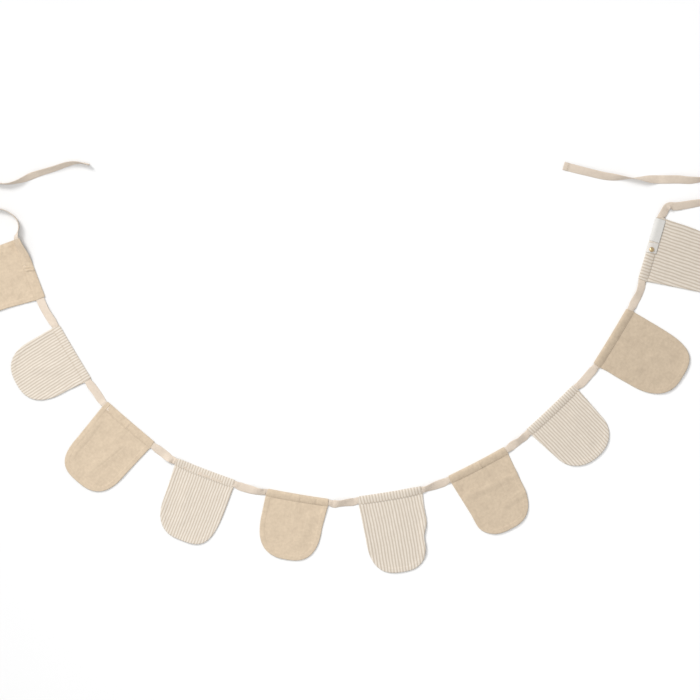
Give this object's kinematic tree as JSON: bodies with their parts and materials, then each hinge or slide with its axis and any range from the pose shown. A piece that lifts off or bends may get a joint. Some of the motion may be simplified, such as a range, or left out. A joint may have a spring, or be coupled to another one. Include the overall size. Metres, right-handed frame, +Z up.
{
  "type": "fabric bunting",
  "caption": "Bunting of plain and finely striped round-ended cloth flags whose sewn header casings are threaded on a flat tape with free tie ends, laid flat in an arc.",
  "frame": {"origin": "on the surface that the bunting lies on, under the middle of its outline", "axes": "+X runs from the tie before the first flag to the labelled end, +Y points from the arc's low middle to the open side where both ties lie, +Z is up out of the surface"},
  "size_m": [1.1966, 0.6164, 0.0147],
  "materials": {
    "sand_cloth": "matt, slightly crinkled plain cotton weave in warm sand",
    "striped_cloth": "matt cotton weave, fine beige stripes on cream running down the drop",
    "twill_tape": "soft cotton twill with a fine slanting rib",
    "label_white": "smooth woven ribbon, cool white, bare",
    "tab_white": "soft woven ribbon, warm white",
    "stud_brass": "polished domed cap"
  },
  "bodies": {
    "root": {"flag_01": "sand_cloth", "flag_02": "striped_cloth", "flag_03": "sand_cloth", "flag_04": "striped_cloth", "flag_05": "sand_cloth", "flag_06": "striped_cloth", "flag_07": "sand_cloth", "flag_08": "striped_cloth", "flag_09": "sand_cloth", "flag_10": "striped_cloth", "tape": "twill_tape", "side_label": "label_white", "stud_tab": "tab_white", "brass_stud": "stud_brass"}
  },
  "joints": []
}
